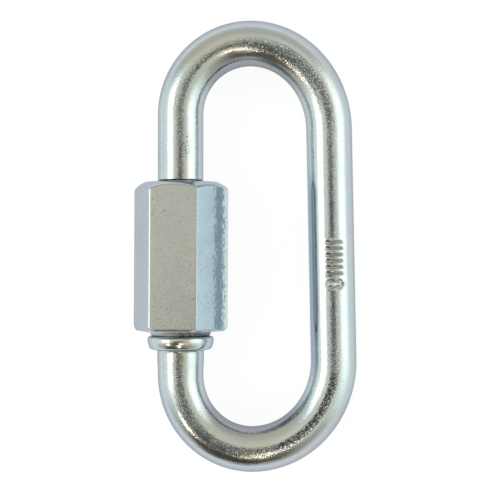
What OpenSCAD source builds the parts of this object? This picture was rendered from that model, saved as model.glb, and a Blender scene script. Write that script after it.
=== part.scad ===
/* [Rod] */
// Diameter of the round rod
rod_d = 8; // [7:0.1:9]
// Clear length inside the link, from bow to bow
inside_length = 63.1; // [60:0.1:80]
// Bend radius of the upper bow on the nut's side, at the middle of the rod
upper_nut_bend_r = 11.9; // [10:0.1:15]
// Bend radius of the upper bow on the spine's side
upper_spine_bend_r = 14.1; // [11:0.1:18]
// Bend radius of the lower bow on the spine's side
lower_spine_bend_r = 14.5; // [11:0.1:18]
// Bend radius of the lower bow on the nut's side
lower_nut_bend_r = 12.3; // [10:0.1:15]

/* [Collar] */
// Diameter of the collar that stops the nut
collar_d = 11.6; // [10:0.1:13]
// Height of the collar along the rod
collar_h = 2.4; // [1.8:0.1:4]
// Rounding of the collar's two outer edges
collar_edge_r = 0.8; // [0.3:0.1:0.8]

/* [Gate] */
// Clear gap between the two stud ends, which the nut closes
gate_gap = 8; // [6:0.25:10]
// Length of the lower stud, all of it held by the closed nut
lower_grip = 3.25; // [2:0.25:5]
// Length of the upper stud that the closed nut's thread holds
upper_grip = 4.3; // [2.5:0.1:6]
// Straight rod left above the nut when it is fully open
open_spare = 1.1; // [0.2:0.1:3]
// Pitch of the thread
thread_pitch = 1.25; // [1:0.25:1.5]
// Radial clearance between stud and nut at the thread's mean radius
thread_clearance = 0.05; // [0.02:0.01:0.1]
// Chamfer on the end of each stud
stud_chamfer = 0.6; // [0.3:0.1:1]

/* [Nut] */
// Width of the hexagon across its flats
hex_af = 14.7; // [13:0.1:17]
// Length of the nut, with its boss
nut_length = 27; // [25:0.1:30]
// How much is turned off each corner of the hexagon
corner_break = 0.12; // [0.06:0.02:0.5]
// Diameter of the round boss under the hexagon
boss_d = 11; // [10:0.1:12.5]
// Height of the boss
boss_h = 0.6; // [0.4:0.1:2]
// How far the upper end's circle lies inside the flats
upper_end_inset = 0.95; // [0.3:0.05:1.2]
// Slope of the upper chamfer, from the end's plane
upper_chamfer_slope = 31; // [20:1:45]
// How far the lower end's circle lies outside the flats
lower_end_outset = 0.4; // [0.1:0.05:0.6]
// Slope of the lower chamfer, from the end's plane
lower_chamfer_slope = 45; // [20:1:60]
// Radial clearance of the plain bore around the rod
slip_clearance = 0.2; // [0.1:0.05:0.4]
// Chamfer at both mouths of the bore
mouth_chamfer = 0.5; // [0.2:0.1:0.7]
// Gap between the closed nut and the collar
seat_gap = 0.02; // [0.01:0.01:0.1]

/* [Stamped mark] */
// Height of the first stroke above the middle of the spine leg
mark_y = 0.4; // [-4:0.1:10]
// Turn of the mark around the spine leg, outwards
mark_turn = 6; // [-20:1:20]
// Number of plain strokes
stroke_count = 6; // [2:1:8]
// Distance from stroke to stroke
stroke_pitch = 1.08; // [0.9:0.02:1.4]
// Length of a stroke across the rod
stroke_l = 2.8; // [1.8:0.1:3.4]
// Width of a stroke, and of the line that draws the rings
stroke_w = 0.44; // [0.3:0.02:0.6]
// Depth of the mark at the crown of the rod
mark_depth = 0.35; // [0.15:0.05:0.6]
// Radius of each of the two rings, at the middle of their line
ring_r = 0.58; // [0.5:0.02:0.8]
// Distance from the last stroke to the middle of the rings
ring_step = 1.95; // [1.6:0.05:3]

/* [Hidden] */
$fn = 96;
zinc = [0.74, 0.76, 0.77];

// The thread is a plain cylinder at the radius halfway up its flanks
thread_depth_share = 0.325;
rod_r = rod_d / 2;
// The straight spine leg keeps the drawn size that the bends lose a hair of, and laps into them
leg_r = rod_r + 0.02;
leg_lap = 0.3;
thread_r = rod_r - thread_depth_share * thread_pitch;
tapped_r = thread_r + thread_clearance;
slip_r = rod_r + slip_clearance;

// The link lies in its own XY plane, with the nut's axis on X = 0 and its length along Y
apex_y = inside_length / 2 + rod_r;
upper_bend_y = apex_y - upper_nut_bend_r;
lower_bend_y = lower_nut_bend_r - apex_y;
upper_spine_c = [upper_nut_bend_r, apex_y - upper_spine_bend_r];
lower_spine_c = [lower_nut_bend_r, lower_spine_bend_r - apex_y];

// The spine leg is the line that touches both spine bends from outside
spine_d = lower_spine_c - upper_spine_c;
spine_turn = atan2(spine_d.y, spine_d.x)
    + acos((upper_spine_bend_r - lower_spine_bend_r) / norm(spine_d));
spine_out = [cos(spine_turn), sin(spine_turn)];
spine_top = upper_spine_c + upper_spine_bend_r * spine_out;
spine_foot = lower_spine_c + lower_spine_bend_r * spine_out;
spine_l = norm(spine_top - spine_foot);

// Stations along the open leg, from the fully open nut downwards
nut_travel = gate_gap + lower_grip;
nut_bottom = upper_bend_y - open_spare - nut_travel - nut_length;
nut_top = nut_bottom + nut_length;
hex_bottom = nut_bottom + boss_h;
collar_top = nut_bottom - seat_gap;
collar_bottom = collar_top - collar_h;
lower_stud_end = collar_top + lower_grip;
upper_stud_end = lower_stud_end + gate_gap;
thread_top = upper_stud_end + nut_travel + upper_grip;
tapped_top = nut_bottom + nut_travel + upper_grip;

// Hexagon
hex_r = hex_af / 2;
hex_sharp_r = hex_r / cos(30);
hex_reach = hex_sharp_r - corner_break;
upper_end_r = hex_r - upper_end_inset;
lower_end_r = hex_r + lower_end_outset;

// At rest the nut lies on a flat and the link leans over until its far side touches too
far_reach = max(upper_nut_bend_r + upper_spine_bend_r, lower_nut_bend_r + lower_spine_bend_r);
lean = asin((hex_r - leg_r) / far_reach);
middle_x = (far_reach * cos(lean) + leg_r - hex_reach) / 2;

// Lifts the nut's axis to its resting height and centres the part over the origin
module at_rest() {
    translate([-middle_x, 0, hex_r]) children();
}

// Turns a shape made along Z so that it stands along Y
module along_y() {
    rotate([-90, 0, 0]) children();
}

// One bend of the rod about a centre, swept from the apex of its bow
module bend(centre, r, apex, sweep) {
    translate(centre)
        rotate([0, 0, apex])
            rotate_extrude(angle = sweep)
                translate([r, 0]) circle(r = rod_r);
}

// Outline of the upper stem: plain rod, run-out, thread and chamfered end
module upper_stem_outline() {
    polygon([
        [0, upper_stud_end],
        [thread_r - stud_chamfer, upper_stud_end],
        [thread_r, upper_stud_end + stud_chamfer],
        [thread_r, thread_top],
        [rod_r, thread_top + rod_r - thread_r],
        [rod_r, upper_bend_y],
        [0, upper_bend_y],
    ]);
}

// Outline of the lower stem: plain rod up to the collar, then the short stud
module lower_stem_outline() {
    polygon([
        [0, lower_bend_y],
        [rod_r, lower_bend_y],
        [rod_r, collar_bottom],
        [thread_r, collar_top],
        [thread_r, lower_stud_end - stud_chamfer],
        [thread_r - stud_chamfer, lower_stud_end],
        [0, lower_stud_end],
    ]);
}

// Outline of the collar, a bead with round edges
module collar_outline() {
    collar_r = collar_d / 2;
    translate([0, collar_bottom]) square([collar_r - collar_edge_r, collar_h]);
    translate([0, collar_bottom + collar_edge_r]) square([collar_r, collar_h - 2 * collar_edge_r]);
    for (edge_y = [collar_bottom + collar_edge_r, collar_top - collar_edge_r])
        translate([collar_r - collar_edge_r, edge_y]) circle(r = collar_edge_r);
}

// Places a shape at the middle of the spine leg, with Y along it and X outwards
module spine_frame() {
    translate((spine_top + spine_foot) / 2) rotate([0, 0, spine_turn]) children();
}

// Plain strokes and a pair of rings, as flat-bottomed cuts into the crown of the spine leg
module stamped_mark() {
    floor_z = leg_r - mark_depth;
    cut_h = 2 * mark_depth;
    ring_y = mark_y - (stroke_count - 1) * stroke_pitch - ring_step;
    for (i = [0 : stroke_count - 1])
        translate([-stroke_l / 2, mark_y - i * stroke_pitch - stroke_w / 2, floor_z])
            cube([stroke_l, stroke_w, cut_h]);
    for (side = [-1, 1])
        translate([side * (ring_r + stroke_w / 4), ring_y, floor_z])
            difference() {
                cylinder(h = cut_h, r = ring_r + stroke_w / 2);
                cylinder(h = 3 * cut_h, r = ring_r - stroke_w / 2, center = true);
            }
}

// The bent rod, lying flat
module bent_rod() {
    bend([upper_nut_bend_r, upper_bend_y], upper_nut_bend_r, 90, 90);
    bend(upper_spine_c, upper_spine_bend_r, 90, spine_turn - 90);
    bend(lower_spine_c, lower_spine_bend_r, -90, 90 + spine_turn);
    bend([lower_nut_bend_r, lower_bend_y], lower_nut_bend_r, -90, -90);
    difference() {
        spine_frame() along_y() cylinder(h = spine_l + 2 * leg_lap, r = leg_r, center = true);
        spine_frame() rotate([0, mark_turn, 0]) stamped_mark();
    }
    along_y() rotate_extrude() upper_stem_outline();
    along_y() rotate_extrude() {
        lower_stem_outline();
        collar_outline();
    }
}

module link_body() {
    color(zinc) at_rest() rotate([0, lean, 0]) bent_rod();
}

// Outline that the hexagon is turned to: broken corners and a chamfer at each end
module hex_turned_outline() {
    polygon([
        [0, hex_bottom],
        [lower_end_r, hex_bottom],
        [hex_reach, hex_bottom + (hex_reach - lower_end_r) * tan(lower_chamfer_slope)],
        [hex_reach, nut_top - (hex_reach - upper_end_r) * tan(upper_chamfer_slope)],
        [upper_end_r, nut_top],
        [0, nut_top],
    ]);
}

// Outline of the bore: tapped below, plain above, chamfered at both mouths
module bore_outline() {
    past = 1;
    polygon([
        [0, nut_bottom - past],
        [tapped_r + mouth_chamfer + past, nut_bottom - past],
        [tapped_r, nut_bottom + mouth_chamfer],
        [tapped_r, tapped_top],
        [slip_r, tapped_top + slip_r - tapped_r],
        [slip_r, nut_top - mouth_chamfer],
        [slip_r + mouth_chamfer + past, nut_top + past],
        [0, nut_top + past],
    ]);
}

module sleeve_nut() {
    color(zinc) at_rest() along_y() difference() {
        union() {
            intersection() {
                translate([0, 0, nut_bottom]) cylinder(h = nut_length + boss_h, r = hex_sharp_r, $fn = 6);
                rotate_extrude() hex_turned_outline();
            }
            translate([0, 0, nut_bottom]) cylinder(h = 2 * boss_h, r = boss_d / 2);
        }
        rotate_extrude() bore_outline();
    }
}

link_body();
sleeve_nut();
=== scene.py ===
"""A zinc-plated chain quick link with a screw gate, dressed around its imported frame.

Lengths are in millimetres, as on the part's own drawing, and become metres where a mesh is made.
"""
import math

import bpy
import numpy as np
from mathutils import Matrix, Vector


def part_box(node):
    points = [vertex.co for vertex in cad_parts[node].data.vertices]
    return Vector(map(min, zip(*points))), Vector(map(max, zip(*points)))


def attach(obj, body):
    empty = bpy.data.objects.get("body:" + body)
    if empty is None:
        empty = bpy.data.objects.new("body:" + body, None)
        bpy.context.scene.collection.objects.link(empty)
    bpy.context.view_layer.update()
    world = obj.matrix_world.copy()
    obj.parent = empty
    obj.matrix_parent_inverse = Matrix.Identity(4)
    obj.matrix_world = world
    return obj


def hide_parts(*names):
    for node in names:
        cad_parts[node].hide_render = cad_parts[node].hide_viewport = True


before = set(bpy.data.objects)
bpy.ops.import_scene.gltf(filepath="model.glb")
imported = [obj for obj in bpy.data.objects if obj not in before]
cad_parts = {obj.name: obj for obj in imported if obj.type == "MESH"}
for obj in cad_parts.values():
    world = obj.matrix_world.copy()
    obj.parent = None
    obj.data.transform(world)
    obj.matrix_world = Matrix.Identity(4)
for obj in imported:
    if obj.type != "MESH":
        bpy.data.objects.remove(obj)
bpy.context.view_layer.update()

MM = 0.001
TURN = 2 * math.pi
QUARTER = TURN / 4
LEFTWARDS = np.array([-1.0, 0.0])

# Rod and bows. Each bend is a quarter of an ellipse, by its reach across the link and along it.
ROD_R = 4.0
INSIDE_LENGTH = 63.1
UPPER_NUT_BEND = np.array([12.25, 12.45])
UPPER_SPINE_BEND = np.array([13.8, 15.4])
LOWER_SPINE_BEND = np.array([14.35, 15.45])
LOWER_NUT_BEND = np.array([12.5, 13.0])

# Collar that stops the nut. It bulges a little past its radius and is drawn in by as much at its top.
COLLAR_R = 5.8
COLLAR_H = 2.4
COLLAR_BULGE = 0.1
COLLAR_BULGE_DROP = 0.9
COLLAR_FOOT_INSET = 0.4
COLLAR_ROUND = 0.6
COLLAR_TOP_ROUND = 0.5

# Neck below the collar, where the rod swells out and meets the collar in a fillet
NECK_SWELL = 0.12
NECK_L = 0.9
NECK_FILLET = 0.5

# Gate and thread. The shares are depths of a metric thread, from its full radius, for each unit of pitch.
GATE_GAP = 8.0
LOWER_GRIP = 3.25
UPPER_GRIP = 4.3
PITCH = 1.25
STUD_DEPTH_SHARE = 0.6134
NUT_DEPTH_SHARE = 0.5413
MEAN_DEPTH_SHARE = 0.325
FLANK_SLOPE = math.tan(math.radians(60))
CREST_CUT = 0.02
STUD_CHAMFER = 0.6
NUT_THREAD_GAP = 0.18
NUT_ROOT_GAP = 0.1
RUN_OUT_GAP = 0.15
RUN_OUT_L = 0.5
STUD_ROOT_R = ROD_R - STUD_DEPTH_SHARE * PITCH
STUD_CREST_R = ROD_R - CREST_CUT
THREAD_MEAN_R = ROD_R - MEAN_DEPTH_SHARE * PITCH
NUT_ROOT_R = ROD_R + NUT_ROOT_GAP
NUT_CREST_R = ROD_R - NUT_DEPTH_SHARE * PITCH

# Hexagonal sleeve nut
HEX_R = 7.35
CORNER_RADII = (0.25, 0.16, 0.6, 0.2, 0.3, 0.3)
FLAT_CROWN = 0.04
NUT_LENGTH = 27.0
BOSS_R = 5.5
BOSS_FOOT_R = 5.12
BOSS_H = 0.85
UPPER_END_R = 6.4
UPPER_CHAMFER_SLOPE = math.radians(31)
LOWER_END_R = 7.75
LOWER_EDGE_BREAK = 0.3
SLIP_R = 4.2
MOUTH_CHAMFER = 0.5
TAPPED_MOUTH_CHAMFER = 0.1
TAPPED_MOUTH_R = NUT_ROOT_R + TAPPED_MOUTH_CHAMFER
TAP_END_L = 0.4
SEAT_GAP = 0.02

# Lengths over which the nut's edges are rounded, on either side of each edge
BOSS_FOOT_ROUND = 0.2
LOWER_FACE_ROUND = 0.15
LOWER_EDGE_ROUND = 0.3
UPPER_EDGE_ROUND = 0.55
UPPER_END_ROUND = 0.45
FINE_ROUND = 0.12

# The nut leans a little in the play of its thread, about a height above its foot
NUT_LEAN = math.radians(0.35)
NUT_LEAN_ABOUT = 7.8

# Stamped mark: plain strokes and a pair of rings, each with a soft edge and a low lip round it
MARK_Y = 0.4
MARK_TURN = math.radians(6)
STROKE_COUNT = 6
STROKE_PITCH = 1.08
STROKE_L = 2.8
STROKE_W = 0.44
STROKE_ROUND = 0.4 * STROKE_W
STROKE_SLANT = 0.4
MARK_DEPTH = 0.3
MARK_BLUR = 0.2
LIP_HEIGHT = 0.04
LIP_AWAY = 0.22
LIP_HALF = 0.1
RING_R = 0.58
RING_STEP = 1.95
RING_OFFSET = RING_R + STROKE_W / 4
RING_Y = MARK_Y - (STROKE_COUNT - 1) * STROKE_PITCH - RING_STEP

# How far the dense part of the mesh goes on past the first stroke and past the middle of the rings
MARK_ABOVE = 1.0
MARK_BELOW = 1.6

# Stations along the open leg, in the link's own plane
NUT_LOW, NUT_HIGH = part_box("sleeve_nut")
NUT_X = (NUT_LOW.x + NUT_HIGH.x) / 2 / MM
NUT_BOTTOM = NUT_LOW.y / MM
NUT_TOP = NUT_BOTTOM + NUT_LENGTH
NUT_TRAVEL = GATE_GAP + LOWER_GRIP
APEX_Y = INSIDE_LENGTH / 2 + ROD_R
UPPER_BEND_Y = APEX_Y - UPPER_NUT_BEND[1]
LOWER_BEND_Y = LOWER_NUT_BEND[1] - APEX_Y
HEX_BOTTOM = NUT_BOTTOM + BOSS_H
COLLAR_TOP = NUT_BOTTOM - SEAT_GAP
COLLAR_BOTTOM = COLLAR_TOP - COLLAR_H
NECK_Y = COLLAR_BOTTOM - NECK_L
LOWER_STUD_END = COLLAR_TOP + LOWER_GRIP
UPPER_STUD_END = LOWER_STUD_END + GATE_GAP
THREAD_TOP = UPPER_STUD_END + NUT_TRAVEL + UPPER_GRIP
RUN_OUT_Y = THREAD_TOP + RUN_OUT_GAP
PLAIN_Y = RUN_OUT_Y + RUN_OUT_L
TAPPED_TOP = NUT_BOTTOM + NUT_TRAVEL + UPPER_GRIP
TAP_END_Y = TAPPED_TOP + TAP_END_L


def bend_point(bend, angle):
    """The place on an elliptical bend, from its centre, where the rod's outside faces the angle."""
    facing = bend * (math.cos(angle), math.sin(angle))
    return bend * facing / np.hypot(*facing)


# The spine leg is the line that touches both spine bends from outside. A few rounds settle its turn.
UPPER_NUT_C = np.array([UPPER_NUT_BEND[0], UPPER_BEND_Y])
UPPER_SPINE_C = np.array([UPPER_NUT_BEND[0], APEX_Y - UPPER_SPINE_BEND[1]])
LOWER_SPINE_C = np.array([LOWER_NUT_BEND[0], LOWER_SPINE_BEND[1] - APEX_Y])
LOWER_NUT_C = np.array([LOWER_NUT_BEND[0], LOWER_BEND_Y])
SETTLING_ROUNDS = 4
SPINE_TURN = 0.0
for _ in range(SETTLING_ROUNDS):
    SPINE_TOP = UPPER_SPINE_C + bend_point(UPPER_SPINE_BEND, SPINE_TURN)
    SPINE_FOOT = LOWER_SPINE_C + bend_point(LOWER_SPINE_BEND, SPINE_TURN)
    SPINE_RUN = SPINE_FOOT - SPINE_TOP
    SPINE_TURN = math.atan2(SPINE_RUN[0], -SPINE_RUN[1])
SPINE_OUT = np.array([math.cos(SPINE_TURN), math.sin(SPINE_TURN)])

# At rest the nut lies on a flat, and the link leans over until its far side touches too
FAR_REACH = LOWER_NUT_BEND[0] + LOWER_SPINE_BEND[0]
LEAN = math.asin((HEX_R - ROD_R) / FAR_REACH)


# Shapes

# Edges sharper than this are shaded as edges
SHARP_EDGE = math.radians(40)

# The largest share of a line's length that the rounding of one of its ends takes up
ROUND_SHARE = 0.48

# Distances between rows of points
THREAD_STEP = PITCH / 12
MARK_STEP = 0.085
PLAIN_STEP = 1.1
NECK_STEP = PLAIN_STEP / 2
BEND_STEP = 0.55


def smooth_step(low, high, value):
    """0 at low, 1 at high and a smooth change between them."""
    share = np.clip((value - low) / (high - low), 0, 1)
    return share * share * (3 - 2 * share)


def steps(start, end, step):
    """Even places from start to end, about a step apart."""
    return np.linspace(start, end, max(2, round(abs(end - start) / step) + 1))


def thread_radius(y, turn, root, crest, gap=0.0):
    """Radius of the right-hand thread at height y. The turn is about +Y, from +Z towards +X."""
    place = (y / PITCH - turn / TURN) % 1
    flank = THREAD_MEAN_R + gap + (0.25 - np.abs(place - 0.5)) * PITCH * FLANK_SLOPE
    return np.clip(flank, root, crest)


def rounded(corners, count=5):
    """Points along a line whose corners (x, y, cut) are rounded over the length cut on either side."""
    points = []
    last = len(corners) - 1
    for i, (x, y, cut) in enumerate(corners):
        here = np.array([x, y])
        if i in (0, last) or cut == 0:
            points.append(here)
            continue
        before = np.array(corners[i - 1][:2]) - here
        after = np.array(corners[i + 1][:2]) - here
        start = here + before / np.hypot(*before) * min(cut, np.hypot(*before) * ROUND_SHARE)
        end = here + after / np.hypot(*after) * min(cut, np.hypot(*after) * ROUND_SHARE)
        for t in np.linspace(0, 1, count):
            points.append((1 - t) ** 2 * start + 2 * t * (1 - t) * here + t * t * end)
    return points


def grid_faces(rows, columns, ring):
    """Quads of a grid whose columns close on themselves, and its rows too where ring is true."""
    quads = []
    for i in range(rows if ring else rows - 1):
        below = i * columns
        above = (i + 1) % rows * columns
        for j in range(columns):
            k = (j + 1) % columns
            quads.append((below + j, below + k, above + k, above + j))
    return quads


def new_piece(name, points, faces, material):
    """A smooth-shaded mesh object from points in millimetres in the frame."""
    mesh = bpy.data.meshes.new(name)
    mesh.from_pydata((np.asarray(points) * MM).tolist(), [], faces)
    mesh.validate()
    mesh.shade_smooth()
    mesh.set_sharp_from_angle(angle=SHARP_EDGE)
    mesh.materials.append(material)
    piece = bpy.data.objects.new(name, mesh)
    bpy.context.scene.collection.objects.link(piece)
    return piece


# Link body, as rows of points round the rod: each row has its centre, its outward direction and its radius

# Angles round the rod from outwards, over the crown, starting underneath; dense where the mark is
MARK_ANGLE = QUARTER - MARK_TURN
MARK_HALF = math.radians(27)
COLUMNS_OUTSIDE = 34
COLUMNS_AT_MARK = 44
COLUMNS_INSIDE = 46
AROUND = np.concatenate([
    np.linspace(-QUARTER, MARK_ANGLE - MARK_HALF, COLUMNS_OUTSIDE, endpoint=False),
    np.linspace(MARK_ANGLE - MARK_HALF, MARK_ANGLE + MARK_HALF, COLUMNS_AT_MARK, endpoint=False),
    np.linspace(MARK_ANGLE + MARK_HALF, 3 * QUARTER, COLUMNS_INSIDE, endpoint=False),
])
THREAD_TURN = AROUND - QUARTER
BEAD_POINTS = 7


def stud_limit(depth):
    """Largest radius at a depth below a stud's end, from its chamfer."""
    return THREAD_MEAN_R - STUD_CHAMFER + depth


def stem_row(y, radius):
    """One row of the open leg."""
    return np.array([0, y]), LEFTWARDS, radius


def upper_stem_rows():
    """The upper stud, its run-out and the plain rod up to the bow."""
    rows = []
    for y in steps(UPPER_STUD_END, PLAIN_Y, THREAD_STEP):
        thread = thread_radius(y, THREAD_TURN, STUD_ROOT_R, STUD_CREST_R)
        radius = np.clip(thread, THREAD_MEAN_R + y - RUN_OUT_Y, ROD_R)
        rows.append(stem_row(y, np.minimum(radius, stud_limit(y - UPPER_STUD_END))))
    for y in steps(PLAIN_Y, UPPER_BEND_Y, PLAIN_STEP)[1:-1]:
        rows.append(stem_row(y, ROD_R))
    return rows


def bend_rows(centre, bend, start, end):
    """A bend of the rod about a centre, with both of its end rows."""
    rows = []
    for angle in steps(start, end, BEND_STEP / bend[0]):
        outward = np.array([math.cos(angle), math.sin(angle)])
        rows.append((centre + bend_point(bend, angle), outward, ROD_R))
    return rows


def mark_distance(along, across):
    """Signed distance to the nearest stroke or ring of the mark, negative inside."""
    nearest = np.full(across.shape, np.inf)
    stroke_half = STROKE_W / 2 + MARK_BLUR
    for i in range(STROKE_COUNT):
        side = np.abs(across) - STROKE_L / 2 + STROKE_ROUND
        off = along - MARK_Y + i * STROKE_PITCH
        # The stamp was struck at a slant, so a stroke is deepest a little below its middle
        slanted = off + STROKE_SLANT * max(0, stroke_half - off * off / stroke_half)
        height = abs(slanted) - STROKE_W / 2 + STROKE_ROUND
        outside = np.hypot(np.maximum(side, 0), max(height, 0))
        inside = np.minimum(np.maximum(side, height), 0)
        nearest = np.minimum(nearest, outside + inside - STROKE_ROUND)
    for offset in (-RING_OFFSET, RING_OFFSET):
        from_middle = np.hypot(across - offset, along - RING_Y)
        nearest = np.minimum(nearest, np.abs(from_middle - RING_R) - STROKE_W / 2)
    return nearest


def marked_radius(along):
    """Radius round the spine leg where the mark is struck, with the lip that the stamp throws up."""
    from_mark = AROUND - MARK_ANGLE
    on_crown = np.abs(from_mark) < MARK_HALF
    across = -ROD_R * np.sin(from_mark)
    distance = mark_distance(along, across)
    round_floor = ROD_R - MARK_DEPTH
    flat_floor = round_floor / np.cos(np.where(on_crown, from_mark, 0))
    floor_r = np.minimum((flat_floor + round_floor) / 2, ROD_R)
    struck = smooth_step(MARK_BLUR, -STROKE_W / 2, distance)
    lip = LIP_HEIGHT * np.exp(-(((distance - LIP_AWAY) / LIP_HALF) ** 2))
    return np.where(on_crown, ROD_R + (floor_r - ROD_R) * struck + lip, ROD_R)


def spine_rows():
    """The spine leg from top to foot, with the stamped mark in its crown."""
    length = np.hypot(*SPINE_RUN)
    downward = SPINE_RUN / length
    middle = length / 2
    mark_start = middle - MARK_Y - MARK_ABOVE
    mark_end = middle - RING_Y + MARK_BELOW
    places = np.concatenate([
        steps(0, mark_start, PLAIN_STEP)[1:-1],
        steps(mark_start, mark_end, MARK_STEP),
        steps(mark_end, length, PLAIN_STEP)[1:-1],
    ])
    rows = []
    for place in places:
        marked = mark_start < place < mark_end
        radius = marked_radius(middle - place) if marked else ROD_R
        rows.append((SPINE_TOP + place * downward, SPINE_OUT, radius))
    return rows


def lower_stem_rows():
    """Plain rod, the upset collar and the short lower stud."""
    rows = []
    for y in steps(LOWER_BEND_Y, NECK_Y, NECK_STEP)[1:-1]:
        swell = NECK_SWELL * smooth_step(LOWER_BEND_Y, NECK_Y, y)
        rows.append(stem_row(y, ROD_R + swell))
    bead = rounded([
        (ROD_R + NECK_SWELL, NECK_Y, 0),
        (ROD_R + NECK_SWELL, COLLAR_BOTTOM, NECK_FILLET),
        (COLLAR_R - COLLAR_FOOT_INSET, COLLAR_BOTTOM, COLLAR_ROUND),
        (COLLAR_R + COLLAR_BULGE, COLLAR_TOP - COLLAR_BULGE_DROP, COLLAR_ROUND),
        (COLLAR_R - COLLAR_BULGE, COLLAR_TOP, COLLAR_TOP_ROUND),
        (THREAD_MEAN_R, COLLAR_TOP, 0),
    ], BEAD_POINTS)
    for radius, y in bead:
        rows.append(stem_row(y, radius))
    for y in steps(COLLAR_TOP, LOWER_STUD_END, THREAD_STEP)[1:]:
        thread = thread_radius(y, THREAD_TURN, STUD_ROOT_R, STUD_CREST_R)
        rows.append(stem_row(y, np.minimum(thread, stud_limit(LOWER_STUD_END - y))))
    return rows


def in_frame(points):
    """Points of the link's own plane, leant over and set down as the link rests."""
    x, y, z = np.moveaxis(points, -1, 0)
    sine = math.sin(LEAN)
    cosine = math.cos(LEAN)
    return np.stack([NUT_X + x * cosine + z * sine, y, HEX_R - x * sine + z * cosine], -1)


def make_link(material):
    """The bent rod as one closed sweep, from the upper stud's end round to the lower stud's end."""
    rows = upper_stem_rows()
    rows += bend_rows(UPPER_NUT_C, UPPER_NUT_BEND, 2 * QUARTER, QUARTER)
    rows += bend_rows(UPPER_SPINE_C, UPPER_SPINE_BEND, QUARTER, SPINE_TURN)[1:]
    rows += spine_rows()
    rows += bend_rows(LOWER_SPINE_C, LOWER_SPINE_BEND, SPINE_TURN, -QUARTER)
    rows += bend_rows(LOWER_NUT_C, LOWER_NUT_BEND, -QUARTER, -2 * QUARTER)[1:]
    rows += lower_stem_rows()
    columns = len(AROUND)
    points = np.zeros((len(rows), columns, 3))
    for ring, (centre, outward, radius) in zip(points, rows):
        ring[:, :2] = centre + (radius * np.cos(AROUND))[:, None] * outward
        ring[:, 2] = radius * np.sin(AROUND)
    ends = np.array([[0, UPPER_STUD_END, 0], [0, LOWER_STUD_END, 0]])
    faces = grid_faces(len(rows), columns, ring=False)
    first_end = len(rows) * columns
    last_row = first_end - columns
    for j in range(columns):
        k = (j + 1) % columns
        faces.append((first_end, k, j))
        faces.append((first_end + 1, last_row + j, last_row + k))
    flat = np.concatenate([points.reshape(-1, 3), ends])
    return new_piece("link_rod", in_frame(flat), faces, material)


# Sleeve nut, as closed sections through its axis

HALF_SIDE = math.radians(30)
FLAT_POINTS = 13
CORNER_POINTS = 7
FACE_WEIGHT = 90


def corner_spread(corner_r):
    """Half the angle that a round corner of the hexagon takes up, seen from the axis."""
    return HALF_SIDE - math.atan((HEX_R - corner_r) * math.tan(HALF_SIDE) / HEX_R)


def hexagon_columns():
    """Angles and radii round a hexagon with crowned flats and unequal corners.

    Angle 0 is a corner, at +X.
    """
    angles = []
    radii = []
    for side, corner_r in enumerate(CORNER_RADII):
        corner = side * 2 * HALF_SIDE
        next_r = CORNER_RADII[(side + 1) % len(CORNER_RADII)]
        corner_c = (HEX_R - corner_r) / math.cos(HALF_SIDE)
        flat_start = corner_spread(corner_r)
        flat_end = 2 * HALF_SIDE - corner_spread(next_r)
        off_corner = np.linspace(-flat_start, flat_start, CORNER_POINTS)[1:-1]
        bulge = np.sqrt(corner_r ** 2 - (corner_c * np.sin(off_corner)) ** 2)
        off_flat = np.linspace(flat_start, flat_end, FLAT_POINTS) - HALF_SIDE
        fall = FLAT_CROWN * (off_flat / np.abs(off_flat).max()) ** 2
        angles += [corner + off_corner, corner + HALF_SIDE + off_flat]
        radii += [corner_c * np.cos(off_corner) + bulge - FLAT_CROWN, HEX_R / np.cos(off_flat) - fall]
    return np.concatenate(angles), np.concatenate(radii)


def nut_profile(angle, hex_r):
    """One closed section of the nut through its axis.

    Its pairs of radius and height go up the outside and down the bore.
    """
    lower_cut = max(LOWER_EDGE_BREAK, hex_r - LOWER_END_R)
    upper_drop = (hex_r - UPPER_END_R) * math.tan(UPPER_CHAMFER_SLOPE)
    outside = rounded([
        (TAPPED_MOUTH_R, NUT_BOTTOM, 0),
        (BOSS_FOOT_R, NUT_BOTTOM, BOSS_FOOT_ROUND),
        (BOSS_R, HEX_BOTTOM, FINE_ROUND),
        (hex_r - lower_cut, HEX_BOTTOM, LOWER_FACE_ROUND),
        (hex_r, HEX_BOTTOM + lower_cut, LOWER_EDGE_ROUND),
        (hex_r, NUT_TOP - upper_drop, UPPER_EDGE_ROUND),
        (UPPER_END_R, NUT_TOP, UPPER_END_ROUND),
        (SLIP_R + MOUTH_CHAMFER, NUT_TOP, FINE_ROUND),
        (SLIP_R, NUT_TOP - MOUTH_CHAMFER, FINE_ROUND),
        (SLIP_R, TAP_END_Y + TAP_END_L, FINE_ROUND),
        (NUT_ROOT_R, TAP_END_Y, 0),
    ])
    turn = QUARTER - angle
    bore = []
    for y in steps(TAP_END_Y, NUT_BOTTOM, THREAD_STEP)[1:-1]:
        mouth = max(TAPPED_MOUTH_R - (y - NUT_BOTTOM), NUT_ROOT_R - (TAP_END_Y - y), 0)
        thread = thread_radius(y, turn, NUT_CREST_R, NUT_ROOT_R, NUT_THREAD_GAP)
        bore.append((max(thread, mouth), y))
    return outside + bore


def make_nut(material):
    """The hexagonal sleeve nut as one closed mesh round its bore."""
    angles, radii = hexagon_columns()
    sections = np.array([nut_profile(angle, hex_r) for angle, hex_r in zip(angles, radii)])
    radius = sections[..., 0].T
    height = sections[..., 1].T
    shift = (height - NUT_BOTTOM - NUT_LEAN_ABOUT) * math.tan(NUT_LEAN)
    x = NUT_X + shift + radius * np.cos(angles)
    z = HEX_R + radius * np.sin(angles)
    points = np.stack([x, height, z], -1)
    rows, columns = radius.shape
    faces = [quad[::-1] for quad in grid_faces(rows, columns, ring=True)]
    nut = new_piece("nut_sleeve", points.reshape(-1, 3), faces, material)
    even = nut.modifiers.new("even_shading", "WEIGHTED_NORMAL")
    even.weight = FACE_WEIGHT
    return nut


# Directions. The camera looks straight down but for a lean towards the spine leg.

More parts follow.
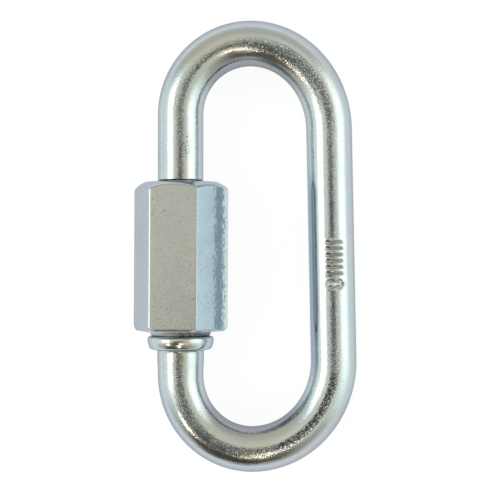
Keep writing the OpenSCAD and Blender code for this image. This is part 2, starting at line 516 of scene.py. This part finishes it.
CAMERA_LEAN = math.radians(9.2)


def heading(angle, azimuth):
    """A direction at an angle from the camera's line, towards an azimuth in the picture, in degrees.

    Azimuth 0 is to the right in the picture and 90 is up.
    """
    polar = math.radians(angle)
    around = math.radians(azimuth)
    off_line = math.sin(polar)
    seen = Vector((off_line * math.cos(around), off_line * math.sin(around), math.cos(polar)))
    return Matrix.Rotation(CAMERA_LEAN, 3, "Y") @ seen


OVERHEAD = heading(0, 0)
UPWARDS = (0, 0, 1)
FOOTWARDS = (0, -1, 0)

# The products of these with a place in metres are its millimetres across the link and along it
ACROSS = (1 / MM, 0, 0)
ALONG = (0, 1 / MM, 0)


# Materials

class Nodes:
    """Short calls for the few kinds of shader node that the scene uses.

    Sockets and values both serve as inputs.
    """

    def __init__(self, tree):
        self.tree = tree
        tree.nodes.clear()

    def add(self, kind, inputs, **settings):
        """A new node with its settings made and its inputs linked or set."""
        made = self.tree.nodes.new("ShaderNode" + kind)
        for key, value in settings.items():
            setattr(made, key, value)
        for key, value in inputs.items():
            if isinstance(value, bpy.types.NodeSocket):
                self.tree.links.new(value, made.inputs[key])
            else:
                made.inputs[key].default_value = value
        return made

    def math(self, operation, first, second=0.0):
        return self.add("Math", {0: first, 1: second}, operation=operation).outputs[0]

    def times(self, first, second):
        return self.math("MULTIPLY", first, second)

    def larger(self, first, second):
        return self.math("MAXIMUM", first, second)

    def dot(self, first, second):
        return self.add("VectorMath", {0: first, 1: second}, operation="DOT_PRODUCT").outputs["Value"]

    def length(self, vector):
        return self.add("VectorMath", {0: vector}, operation="LENGTH").outputs["Value"]

    def stretched(self, vector, factors):
        return self.add("VectorMath", {0: vector, 1: factors}, operation="MULTIPLY").outputs["Vector"]

    def noise(self, vector, size, detail=2.0, roughness=0.5):
        """Noise whose lumps are about size millimetres across."""
        inputs = {"Vector": vector, "Scale": 1 / (size * MM), "Detail": detail, "Roughness": roughness}
        return self.add("TexNoise", inputs).outputs["Fac"]

    def spread(self, value, low, high, to_low=0.0, to_high=1.0):
        """A smooth change from to_low to to_high as the value goes from low to high."""
        inputs = {"Value": value, "From Min": low, "From Max": high, "To Min": to_low, "To Max": to_high}
        return self.add("MapRange", inputs, interpolation_type="SMOOTHSTEP").outputs["Result"]

    def mix(self, share, first, second):
        """The first colour where the share is 0 and the second where it is 1."""
        inputs = {"Factor": share, 6: first, 7: second}
        return self.add("Mix", inputs, data_type="RGBA").outputs[2]

    def bump(self, height, depth, below=None):
        """Relief of a depth in millimetres, on top of the relief below."""
        inputs = {"Height": height, "Distance": depth * MM, "Strength": 1.0}
        if below is not None:
            inputs["Normal"] = below
        return self.add("Bump", inputs).outputs["Normal"]


def new_material(name):
    """An empty material and the calls that fill it."""
    material = bpy.data.materials.new(name)
    material.use_nodes = True
    return material, Nodes(material.node_tree)


# In the values below, an effect starts at the first of two limits and is full at the second. Limits of
# noise lie between 0 and 1. Limits named facing are cosines of the angle between a surface and a direction.

# Plating on both pieces, with the sizes of its patches, scuffs, grain and waves
WARM_ZINC = (0.54, 0.60, 0.62, 1)
WARM_SIZE = 9
WARM_LIMITS = (0.40, 0.62)
LILAC_ZINC = (0.53, 0.58, 0.66, 1)
LILAC_SIZE = 5.5
LILAC_LIMITS = (0.56, 0.70)
DULL_ZINC = (0.28, 0.30, 0.30, 1)
SCUFF_FIELD_SIZE = 4.5
SCUFF_FIELD_LIMITS = (0.50, 0.62)
SCUFF_SIZE = 0.55
SCUFF_LIMITS = (0.57, 0.68)
SCUFF_ROUGHNESS = 0.2
SPECKLE_SIZE = 0.4
SPECKLE_LIMITS = (0.45, 0.75)
SPECKLE_SHARE = 0.35
SHEEN_SIZE = 2.4
SHEEN_LIMITS = (0.3, 0.75)
SMOOTHER_BY = 0.03
ROUGHER_BY = 0.06
WAVE_SIZE = 3.0
GRAIN_SIZE = 0.25

# Dark specks: in scuffs, and as painted shade and painted dark reflections
SCUFFS_AND_PAINTED_SHADE_ZINC = (0.12, 0.125, 0.125, 1)

# The nut's flat towards the spine leg has a painted bright reflection, with a ragged painted dark band along
# it that stands for the spine leg's reflection, and a painted highlight along its far edge
NUT_ZINC = (0.47, 0.55, 0.595, 1)
NUT_EDGE_TINT = (0.72, 0.72, 0.75, 1)
PAINTED_BRIGHT_REFLECTION_ZINC = (0.60, 0.74, 0.845, 1)
PAINTED_BAND_REFLECTION_ZINC = (0.28, 0.39, 0.47, 1)
PAINTED_EDGE_HIGHLIGHT_ZINC = (0.86, 0.99, 1.0, 1)
SPINE_FLAT_OUT = (math.cos(HALF_SIDE), 0, math.sin(HALF_SIDE))
SPINE_FLAT_DOWN = (math.sin(HALF_SIDE), 0, -math.cos(HALF_SIDE))
FLAT_FACING = (0.96, 0.99)
FLAT_SATIN = 0.18
BAND_MIDDLE = 1.75
BAND_HALF = 1.15
BAND_SOFT = 0.65
HIGHLIGHT_EDGE = 3.15
HIGHLIGHT_SOFT = 0.4
RAGGED_STRETCH = (1, 0.4, 1)
RAGGED_SIZE = 0.32
RAGGED_LIMITS = (0.2, 0.8)
RAGGED_BY = 1.1

# The nut's boss is satin, with painted shade, in specks, on its half towards the spine leg
BOSS_SOFT = 0.15
BOSS_LIMITS = (HEX_BOTTOM, HEX_BOTTOM - BOSS_SOFT)
BOSS_SATIN = 0.25
BOSS_SHADE_PLACE = (NUT_X - 0.5, NUT_X + 1.5)
BOSS_SHADE_SIZE = 0.35
BOSS_SHADE_LIMITS = (0.40, 0.55)
BOSS_SHADE_SHARES = (0.3, 0.95)

# The rod's colours, and where its spine side starts across the link and its bows start along it
ROD_ZINC = (0.50, 0.60, 0.65, 1)
ROD_EDGE_TINT = (0.55, 0.57, 0.58, 1)
SPINE_LIMITS = (3, 8)
BOW_LIMITS = (12, 24)
BOW_END_LIMITS = (24, 30)

# Painted reflections on the spine leg: a dull blue on the side towards the nut, and a pale one along its
# crown
PAINTED_BLUE_REFLECTION_ZINC = (0.36, 0.45, 0.55, 1)
BLUE_TURN = math.radians(49)
BLUE_SIDE = (-math.sin(BLUE_TURN), 0, math.cos(BLUE_TURN))
BLUE_FACING = (0.951, 0.978)
BLUE_MIDDLE = -5
BLUE_REACH = (20, 14)
PAINTED_PALE_REFLECTION_ZINC = (0.56, 0.68, 0.78, 1)
PALE_FACING = (0.93, 0.98)

# The rod has dark specks along its crown, most of all in the two bends of the spine side: partly scuffs, and
# partly a painted dark reflection of the dark gap over the camera
CROWN = heading(1, 0)
CROWN_FACING = (0.973, 0.992)
CROWN_SCUFFS_AND_PAINTED_REFLECTION = 0.3
FOOT_LIMITS = (-19, -24)
SHOULDER_LIMITS = (18, 23)
SHOULDER_SCUFFS_AND_PAINTED_REFLECTION = 0.65
SPECK_SIZE = 0.3
SPECK_LIMITS = (0.63, 0.47)

# Beside the crown, where a bend faces the lower left, dark specks are a painted dark reflection
PAINTED_REFLECTION_SIDE = heading(12, 218)
PAINTED_REFLECTION_FACING = (0.972, 0.99)
STEEPER_PAINTED_REFLECTION_SIDE = heading(24, 236)
STEEPER_PAINTED_REFLECTION_FACING = (0.982, 0.994)
FOOTWARD_FACING = (0.03, 0.1)
PAINTED_REFLECTION_SHARE = 0.6

# Oval scuffed patches on the stem above the nut and on the lower bow
PATCHES = (
    {"at": (NUT_X + 1.8, 17.6), "half": (1.0, 2.6), "specks": (0.47, 0.40)},
    {"at": (0.8, -37.0), "half": (3.4, 1.8), "specks": (0.67, 0.50)},
)
PATCH_EDGE = (1.0, 0.4)
PATCH_SCUFFS = 0.7

# Painted shade on the flanks of the bows, which makes them greyer than the crown, and deeper painted shade
# where they face into the loop
PAINTED_FLANK_SHADE_ZINC = (0.485, 0.52, 0.565, 1)
SHADED_ZINC = (0.34, 0.35, 0.38, 1)
FLANK_FACING = (0.84, 0.66)
INWARD_FACING = (0.2, 0.6)

# Bending roughened the rod, along the crown of the bows and on the inside of the upper right one
STRAIGHT_GRAIN = 0.55
FLANK_GRAIN = 0.45
ROUGH_FACING = (0.974, 0.9945)
ROUGH_BEND = heading(20, 240)
ROUGH_BEND_FACING = (0.962, 0.985)


def nut_finish_and_painted_light(nodes, coordinates, colour):
    """Colour, added roughness and share of the grain on the nut.

    They paint a bright reflection on the flat towards the spine leg, with a dark band and a highlight along
    its far edge, and speckled shade on the boss.
    """
    place = coordinates["Object"]
    facing = nodes.spread(nodes.dot(coordinates["Normal"], SPINE_FLAT_OUT), *FLAT_FACING)
    axis_down = NUT_X * SPINE_FLAT_DOWN[0] + HEX_R * SPINE_FLAT_DOWN[2]
    down = nodes.math("DIVIDE", nodes.dot(place, SPINE_FLAT_DOWN), MM)
    down = nodes.math("SUBTRACT", down, axis_down)
    streaks = nodes.noise(nodes.stretched(place, RAGGED_STRETCH), RAGGED_SIZE, detail=3, roughness=0.7)
    down = nodes.math("ADD", down, nodes.spread(streaks, *RAGGED_LIMITS, -RAGGED_BY, RAGGED_BY))
    off_band = nodes.math("ABSOLUTE", nodes.math("SUBTRACT", down, BAND_MIDDLE))
    bright = nodes.spread(off_band, BAND_HALF - BAND_SOFT, BAND_HALF + BAND_SOFT)
    # Painted reflection on the flat towards the spine leg: bright, with a dark band
    colour = nodes.mix(facing, colour, nodes.mix(bright, PAINTED_BAND_REFLECTION_ZINC, PAINTED_BRIGHT_REFLECTION_ZINC))
    # Painted highlight along the flat's far edge
    edge_highlight = nodes.spread(down, HIGHLIGHT_EDGE - HIGHLIGHT_SOFT, HIGHLIGHT_EDGE + HIGHLIGHT_SOFT)
    colour = nodes.mix(nodes.times(facing, edge_highlight), colour, PAINTED_EDGE_HIGHLIGHT_ZINC)
    on_boss = nodes.spread(nodes.dot(place, ALONG), *BOSS_LIMITS)
    satin = nodes.larger(nodes.times(facing, FLAT_SATIN), nodes.times(on_boss, BOSS_SATIN))
    # Painted shade, in specks, on the boss's half towards the spine leg, between the nut and the collar
    shaded_half = nodes.times(on_boss, nodes.spread(nodes.dot(place, ACROSS), *BOSS_SHADE_PLACE))
    shade_specks = nodes.spread(nodes.noise(place, BOSS_SHADE_SIZE), *BOSS_SHADE_LIMITS, *BOSS_SHADE_SHARES)
    colour = nodes.mix(nodes.times(shaded_half, shade_specks), colour, SCUFFS_AND_PAINTED_SHADE_ZINC)
    return colour, satin, 1.0


def spine_painted_reflections(nodes, normal, along, on_spine, colour):
    """The colour with painted reflections on the spine leg: a dark blue on its side towards the nut and a
    pale one along its crown.
    """
    off_middle = nodes.math("ABSOLUTE", nodes.math("SUBTRACT", along, BLUE_MIDDLE))
    blue_reflection = nodes.spread(nodes.dot(normal, BLUE_SIDE), *BLUE_FACING)
    blue_reflection = nodes.times(blue_reflection, nodes.spread(off_middle, *BLUE_REACH))
    # Painted dark blue reflection on the spine's side towards the nut
    colour = nodes.mix(nodes.times(blue_reflection, on_spine), colour, PAINTED_BLUE_REFLECTION_ZINC)
    # Painted paler reflection along the spine's crown, where it faces the camera
    pale_reflection = nodes.spread(nodes.dot(normal, OVERHEAD), *PALE_FACING)
    return nodes.mix(nodes.times(pale_reflection, on_spine), colour, PAINTED_PALE_REFLECTION_ZINC)


def rod_scuffs_and_painted_reflection(nodes, place, normal, across, along, on_spine):
    """Share of dark specks on the rod: along its crown, partly scuffs and partly a painted dark reflection;
    beside the crown in the bends, a painted dark reflection; and scuffs in patches.
    """
    foot = nodes.spread(along, *FOOT_LIMITS)
    shoulder = nodes.spread(along, *SHOULDER_LIMITS, 0.0, SHOULDER_SCUFFS_AND_PAINTED_REFLECTION)
    bends = nodes.times(on_spine, nodes.larger(foot, shoulder))
    # Along the crown: partly scuffs, partly a painted dark reflection
    crown = nodes.spread(nodes.dot(normal, CROWN), *CROWN_FACING)
    crown = nodes.times(crown, nodes.larger(bends, CROWN_SCUFFS_AND_PAINTED_REFLECTION))
    # Beside the crown in the bends: a painted dark reflection
    reflecting = nodes.spread(nodes.dot(normal, PAINTED_REFLECTION_SIDE), *PAINTED_REFLECTION_FACING, 0.0, PAINTED_REFLECTION_SHARE)
    steeper_reflecting = nodes.spread(nodes.dot(normal, STEEPER_PAINTED_REFLECTION_SIDE), *STEEPER_PAINTED_REFLECTION_FACING, 0.0, PAINTED_REFLECTION_SHARE)
    footward = nodes.spread(nodes.dot(normal, FOOTWARDS), *FOOTWARD_FACING)
    beside = nodes.times(nodes.larger(reflecting, steeper_reflecting), footward)
    lumps = nodes.noise(place, SPECK_SIZE, detail=1)
    darkened = nodes.times(nodes.larger(crown, beside), nodes.spread(lumps, *SPECK_LIMITS))
    for patch in PATCHES:
        squares = 0.0
        for value, middle, half in zip((across, along), patch["at"], patch["half"]):
            off = nodes.math("DIVIDE", nodes.math("SUBTRACT", value, middle), half)
            squares = nodes.math("ADD", squares, nodes.times(off, off))
        inside = nodes.spread(nodes.math("SQRT", squares), *PATCH_EDGE)
        specks = nodes.spread(lumps, *patch["specks"], 0.0, PATCH_SCUFFS)
        darkened = nodes.larger(darkened, nodes.times(inside, specks))
    return darkened


def bow_flank_shade(nodes, normal, along, from_middle, colour):
    """The colour with painted shade on the flanks of the bows, deeper where they face into the loop."""
    # Painted shade on the bows' flanks, darker where they face into the loop
    flank = nodes.spread(nodes.dot(normal, UPWARDS), *FLANK_FACING)
    flank = nodes.times(flank, nodes.spread(from_middle, *BOW_END_LIMITS))
    inward = nodes.times(nodes.dot(normal, FOOTWARDS), nodes.math("SIGN", along))
    flank_shade = nodes.mix(nodes.spread(inward, *INWARD_FACING), PAINTED_FLANK_SHADE_ZINC, SHADED_ZINC)
    return nodes.mix(flank, colour, flank_shade)


def rod_grain(nodes, normal, along, from_middle):
    """Share of the grain on the rod, which is 1 where bending made it roughest."""
    bent = nodes.spread(from_middle, *BOW_LIMITS, STRAIGHT_GRAIN, 1.0)
    crown = nodes.spread(nodes.dot(normal, OVERHEAD), *ROUGH_FACING)
    bend = nodes.spread(nodes.dot(normal, ROUGH_BEND), *ROUGH_BEND_FACING)
    bend = nodes.times(bend, nodes.spread(along, *BOW_LIMITS))
    rough = nodes.spread(nodes.larger(crown, bend), 0.0, 1.0, FLANK_GRAIN, 1.0)
    return nodes.times(bent, rough)


def rod_finish_and_painted_light(nodes, coordinates, colour):
    """Colour, with painted reflections and shade, added roughness and share of the grain on the rod."""
    place = coordinates["Object"]
    normal = coordinates["Normal"]
    across = nodes.dot(place, ACROSS)
    along = nodes.dot(place, ALONG)
    from_middle = nodes.math("ABSOLUTE", along)
    on_spine = nodes.spread(across, *SPINE_LIMITS)
    colour = spine_painted_reflections(nodes, normal, along, on_spine, colour)
    darkened = rod_scuffs_and_painted_reflection(nodes, place, normal, across, along, on_spine)
    # Scuffs, and painted dark reflections along and beside the crown
    colour = nodes.mix(darkened, colour, SCUFFS_AND_PAINTED_SHADE_ZINC)
    colour = bow_flank_shade(nodes, normal, along, from_middle, colour)
    return colour, 0.0, rod_grain(nodes, normal, along, from_middle)


def zinc(name, plain, edge_tint, finish_and_painted_light, tint_share, scuff_share, plain_roughness, grain_depth, wave_depth):
    """Bright zinc plating: passivation tints, fine grain, faint waviness and small dull scuffs."""
    material, nodes = new_material(name)
    coordinates = nodes.add("TexCoord", {}).outputs
    place = coordinates["Object"]
    warm = nodes.spread(nodes.noise(place, WARM_SIZE, detail=3), *WARM_LIMITS)
    lilac = nodes.spread(nodes.noise(place, LILAC_SIZE, roughness=0.6), *LILAC_LIMITS)
    tinted = nodes.mix(lilac, nodes.mix(warm, plain, WARM_ZINC), LILAC_ZINC)
    colour = nodes.mix(tint_share, plain, tinted)
    colour, satin, grain_share = finish_and_painted_light(nodes, coordinates, colour)
    field = nodes.spread(nodes.noise(place, SCUFF_FIELD_SIZE), *SCUFF_FIELD_LIMITS)
    scuffs = nodes.spread(nodes.noise(place, SCUFF_SIZE, detail=3, roughness=0.7), *SCUFF_LIMITS)
    speckles = nodes.spread(nodes.noise(place, SPECKLE_SIZE), *SPECKLE_LIMITS, 0.0, SPECKLE_SHARE)
    darkened = nodes.times(nodes.larger(nodes.times(field, scuffs), speckles), scuff_share)
    colour = nodes.mix(darkened, colour, DULL_ZINC)
    smoothest = plain_roughness - SMOOTHER_BY
    roughest = plain_roughness + ROUGHER_BY
    sheen = nodes.noise(place, SHEEN_SIZE, detail=3)
    roughness = nodes.spread(sheen, *SHEEN_LIMITS, smoothest, roughest)
    roughness = nodes.math("ADD", roughness, nodes.times(darkened, SCUFF_ROUGHNESS))
    roughness = nodes.math("ADD", roughness, satin)
    waves = nodes.bump(nodes.noise(place, WAVE_SIZE, detail=1), wave_depth)
    grain = nodes.times(nodes.noise(place, GRAIN_SIZE, detail=0), grain_share)
    shader = nodes.add("BsdfPrincipled", {
        "Base Color": colour,
        "Metallic": 1.0,
        "Specular Tint": edge_tint,
        "Roughness": roughness,
        "Normal": nodes.bump(grain, grain_depth, waves),
    })
    nodes.add("OutputMaterial", {"Surface": shader.outputs["BSDF"]})
    return material


# Floor, which glows a little less near the part, as a painted shade round it

FLOOR_HALF = 3000
FLOOR_GREY = (0.155, 0.17, 0.195, 1)
FLOOR_WHITE = (1, 1, 1, 1)
NEAR_GLOW = 0.89
FAR_GLOW = 1.0
GLOW_NEAR_R = 30
GLOW_FAR_R = 110


def make_floor():
    """A pale floor that shows white and keeps a faint shadow."""
    material, nodes = new_material("pale_floor")
    rays = nodes.add("LightPath", {}).outputs
    seen = nodes.larger(rays["Is Camera Ray"], rays["Is Glossy Ray"])
    seen = nodes.larger(seen, rays["Is Transmission Ray"])
    distance = nodes.length(nodes.add("TexCoord", {}).outputs["Object"])
    # Painted shade: the glow is dimmer near the part
    level = nodes.spread(distance, GLOW_NEAR_R * MM, GLOW_FAR_R * MM, NEAR_GLOW, FAR_GLOW)
    paint = nodes.add("BsdfDiffuse", {"Color": FLOOR_GREY})
    glow = nodes.add("Emission", {"Color": FLOOR_WHITE, "Strength": nodes.times(seen, level)})
    both = nodes.add("AddShader", {0: paint.outputs[0], 1: glow.outputs[0]})
    nodes.add("OutputMaterial", {"Surface": both.outputs[0]})
    corners = [(-1, -1), (1, -1), (1, 1), (-1, 1)]
    points = [(x * FLOOR_HALF, y * FLOOR_HALF, 0) for x, y in corners]
    new_piece("floor", points, [(0, 1, 2, 3)], material)


# Camera

CAMERA_DISTANCE = 300
CAMERA_LENS = 123.2
CAMERA_SENSOR = 36
CAMERA_CLIP = 10
CAMERA_AIM = (1.0, -0.66, 6)


def make_camera():
    """The photo's view, from a distance above the point that the camera aims at."""
    camera = bpy.data.objects.new("camera", bpy.data.cameras.new("camera"))
    camera.data.lens = CAMERA_LENS
    camera.data.sensor_width = CAMERA_SENSOR
    camera.data.clip_start = CAMERA_CLIP * MM
    bpy.context.scene.collection.objects.link(camera)
    back = Vector((math.sin(CAMERA_LEAN), 0, math.cos(CAMERA_LEAN)))
    camera.location = (Vector(CAMERA_AIM) + back * CAMERA_DISTANCE) * MM
    camera.rotation_euler = (0, CAMERA_LEAN, 0)
    bpy.context.scene.camera = camera


# Studio round the part, as what lies in each direction

PALE_WALL = (0.86, 0.88, 0.88, 1)
HIGH_CEILING = (0.90, 0.80, 0.63, 1)
LOW_CEILING = (0.71, 0.63, 0.52, 1)
WALL_TOP_LIMITS = (0.05, 0.3)
HIGH_CEILING_FACING = (0.5, 0.9)

# Panels on the walls and the ceiling, later ones over earlier ones. Each is at an angle and an azimuth, with
# its half width and half height in degrees, the softness of its edge, its colour and how much of it shows.
PANELS = (
    # A pale wall at the right and one at the left
    {"at": (74, 3), "half": (34, 34), "soft": 0.5, "colour": (1.30, 1.40, 1.22, 1), "share": 0.9},
    {"at": (64, 177), "half": (30, 25), "soft": 0.5, "colour": (1.15, 1.20, 1.10, 1), "share": 0.9},
    # The window in each of them
    {"at": (58, 10), "half": (18, 19), "soft": 0.7, "colour": (1.95, 1.86, 1.68, 1), "share": 1.0},
    {"at": (52, 174), "half": (13.4, 15.5), "soft": 0.38, "colour": (2.7, 2.5, 2.25, 1), "share": 1.0},
    # Dim, dark and reddish parts of the room beyond the lower bow
    {"at": (58, 283), "half": (20, 22), "soft": 0.5, "colour": (0.33, 0.29, 0.24, 1), "share": 0.6},
    {"at": (58, 255), "half": (30, 19), "soft": 0.35, "colour": (0.15, 0.12, 0.09, 1), "share": 1.0},
    {"at": (68, 227), "half": (7, 8), "soft": 0.5, "colour": (0.30, 0.18, 0.135, 1), "share": 0.85},
    # The warm glow of a lamp on the dark part
    {"at": (46, 267), "half": (6, 8), "soft": 0.6, "colour": (0.75, 0.56, 0.38, 1), "share": 0.7},
    # Dark gaps in the ceiling, beside the camera and behind it
    {"at": (24.3, 235.4), "half": (13, 14), "soft": 0.25, "colour": (0.17, 0.15, 0.13, 1), "share": 0.95},
    {"at": (1.5, 0), "half": (11, 7.5), "soft": 0.5, "colour": (0.15, 0.145, 0.14, 1), "share": 1.0},
    # Three small warm lamps
    {"at": (51, 217), "half": (4.5, 5), "soft": 0.35, "colour": (6.5, 5.3, 4.0, 1), "share": 1.0},
    {"at": (39.5, 265), "half": (4, 3.2), "soft": 0.5, "colour": (5.4, 4.6, 3.5, 1), "share": 1.0},
    {"at": (27, 276.5), "half": (5, 3.2), "soft": 0.5, "colour": (5.4, 4.6, 3.5, 1), "share": 1.0},
)

# Cosines to a panel's middle: directions below the first don't show it, and the second keeps ratios finite
PANEL_SEEN = 0.05
PANEL_MEASURED = 0.02


def panel_share(nodes, direction, panel):
    """1 inside a soft-edged panel that faces the part and 0 outside it. High is along the part's length."""
    centre = heading(*panel["at"])
    side = Vector((0, 1, 0)).cross(centre).normalized()
    high = centre.cross(side)
    facing = nodes.dot(direction, centre)
    ahead = nodes.larger(facing, PANEL_MEASURED)
    share = nodes.math("GREATER_THAN", facing, PANEL_SEEN)
    for axis, half in zip((side, high), panel["half"]):
        reach = math.tan(math.radians(half))
        off = nodes.math("ABSOLUTE", nodes.math("DIVIDE", nodes.dot(direction, axis), ahead))
        inside = nodes.spread(off, reach * (1 + panel["soft"]), reach * (1 - panel["soft"]))
        share = nodes.times(share, inside)
    return nodes.times(share, panel["share"])


def make_studio():
    """Pale walls, a warm grey ceiling and the panels on them: windows, dark parts and small lamps."""
    world = bpy.data.worlds.new("studio")
    world.use_nodes = True
    bpy.context.scene.world = world
    nodes = Nodes(world.node_tree)
    direction = nodes.add("TexCoord", {}).outputs["Generated"]
    overhead = nodes.spread(nodes.dot(direction, OVERHEAD), *HIGH_CEILING_FACING)
    ceiling = nodes.mix(overhead, LOW_CEILING, HIGH_CEILING)
    above_wall = nodes.spread(nodes.dot(direction, UPWARDS), *WALL_TOP_LIMITS)
    colour = nodes.mix(above_wall, PALE_WALL, ceiling)
    for panel in PANELS:
        colour = nodes.mix(panel_share(nodes, direction, panel), colour, panel["colour"])
    light = nodes.add("Background", {"Color": colour, "Strength": 1.0})
    nodes.add("OutputWorld", {"Surface": light.outputs[0]})


make_studio()
make_floor()
make_camera()

rod_zinc = zinc(
    "rod_zinc", ROD_ZINC, ROD_EDGE_TINT, rod_finish_and_painted_light,
    tint_share=1.0, scuff_share=0.35, plain_roughness=0.13, grain_depth=0.036, wave_depth=0.03,
)
link = make_link(rod_zinc)
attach(link, "link")
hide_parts("link_body")

nut_zinc = zinc(
    "nut_zinc", NUT_ZINC, NUT_EDGE_TINT, nut_finish_and_painted_light,
    tint_share=0.45, scuff_share=0.75, plain_roughness=0.17, grain_depth=0.008, wave_depth=0.012,
)
nut = make_nut(nut_zinc)
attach(nut, "nut")
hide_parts("sleeve_nut")

bpy.context.scene.view_settings.view_transform = "Standard"
